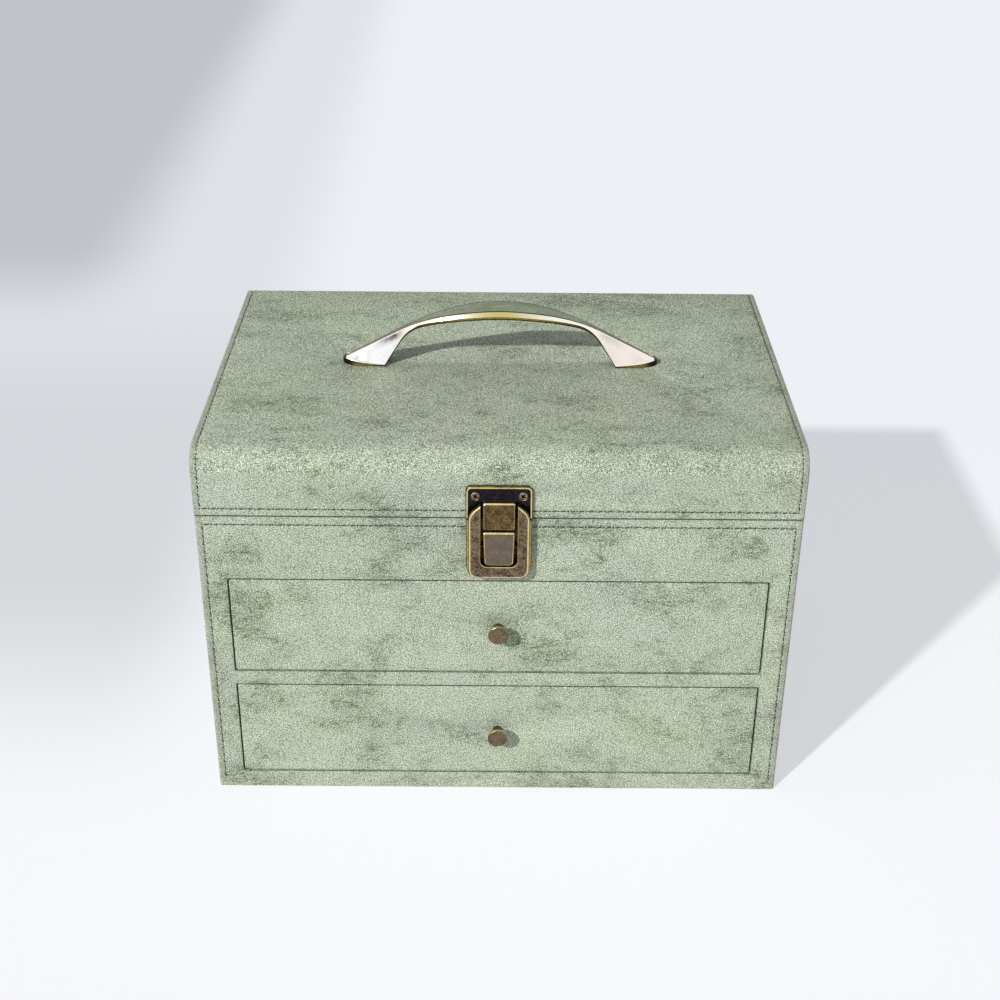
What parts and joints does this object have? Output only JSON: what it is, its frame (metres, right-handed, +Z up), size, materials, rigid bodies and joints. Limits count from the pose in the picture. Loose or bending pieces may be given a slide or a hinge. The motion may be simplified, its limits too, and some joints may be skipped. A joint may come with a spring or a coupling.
{
  "type": "jewelry box",
  "caption": "Leatherette-covered jewelry box with two drawers, a fitted top tray and a hinged mirror lid with bow handle and sprung front latch.",
  "frame": {"origin": "centre of the base's flat underside, on the surface the box stands on", "axes": "+X to the right seen from the front, along the box's width; +Y to the back, where the lid's hinges are; +Z up"},
  "size_m": [0.245, 0.1832, 0.193],
  "materials": {
    "green_leatherette": "mottled embossed leatherette, satin",
    "board": "raw fibreboard, matt",
    "velvet": "short-pile velvet, matt",
    "hinge_brass": "antique brass",
    "latch_brass": "antique brass, darker recesses and bright edges",
    "steel": "zinc-plated steel",
    "spring_steel": "bright spring strip",
    "mirror_glass": "silvered float glass",
    "handle_brass": "polished pale brass",
    "knob_bronze": "antique bronze, rubbed edge"
  },
  "bodies": {
    "case": {"base_panel": "green_leatherette", "bottom_board": "board", "left_side_board": "board", "right_side_board": "board", "back_board": "board", "front_frame": "board", "case_wrap": "green_leatherette", "front_wrap": "green_leatherette", "drawer_shelf": "board", "compartment_floor": "board", "rim_liner": "velvet", "compartment_lining": "velvet", "tray_dividers": "velvet", "ring_rolls": "velvet", "left_hinge_case_leaf": "hinge_brass", "right_hinge_case_leaf": "hinge_brass", "hinge_pins": "hinge_brass", "hinge_case_screws": "hinge_brass", "latch_case": "latch_brass", "latch_case_screws": "steel", "latch_pin": "steel"},
    "lid": {"lid_top_board": "board", "lid_left_cheek": "board", "lid_right_cheek": "board", "lid_back_rail": "board", "lid_wrap": "green_leatherette", "lid_side_covers": "green_leatherette", "lid_lining": "velvet", "lid_mirror": "mirror_glass", "mirror_frame": "green_leatherette", "left_hinge_lid_leaf": "hinge_brass", "right_hinge_lid_leaf": "hinge_brass", "hinge_lid_screws": "hinge_brass", "handle": "handle_brass", "handle_screws": "steel", "latch_plate": "latch_brass", "latch_plate_screws": "hinge_brass"},
    "latch_lever": {"latch_lever": "latch_brass", "latch_spring": "spring_steel"},
    "upper_drawer": {"upper_drawer_front": "board", "upper_drawer_front_cover": "green_leatherette", "upper_drawer_left_side": "board", "upper_drawer_right_side": "board", "upper_drawer_back": "board", "upper_drawer_bottom": "board", "upper_drawer_lining": "velvet", "upper_drawer_dividers": "velvet", "upper_drawer_knob": "knob_bronze", "upper_drawer_knob_screw": "steel"},
    "lower_drawer": {"lower_drawer_front": "board", "lower_drawer_front_cover": "green_leatherette", "lower_drawer_left_side": "board", "lower_drawer_right_side": "board", "lower_drawer_back": "board", "lower_drawer_bottom": "board", "lower_drawer_lining": "velvet", "lower_drawer_dividers": "velvet", "lower_drawer_knob": "knob_bronze", "lower_drawer_knob_screw": "steel"}
  },
  "joints": [
    {"name": "lid_hinge", "type": "hinge", "parent": "case", "child": "lid", "pos_m": [0, 0.088, 0.1376], "axis": [-1, 0, 0], "range_deg": [0, 95]},
    {"name": "upper_drawer_slide", "type": "slide", "parent": "case", "child": "upper_drawer", "axis": [0, -1, 0], "range_m": [0, 0.12]},
    {"name": "lower_drawer_slide", "type": "slide", "parent": "case", "child": "lower_drawer", "axis": [0, -1, 0], "range_m": [0, 0.12]},
    {"name": "latch_press", "type": "hinge", "parent": "case", "child": "latch_lever", "pos_m": [0, -0.0866, 0.1265], "axis": [1, 0, 0], "range_deg": [0, 10], "stiffness_Nm_per_rad": 0.06, "springref_deg": -14.32}
  ]
}
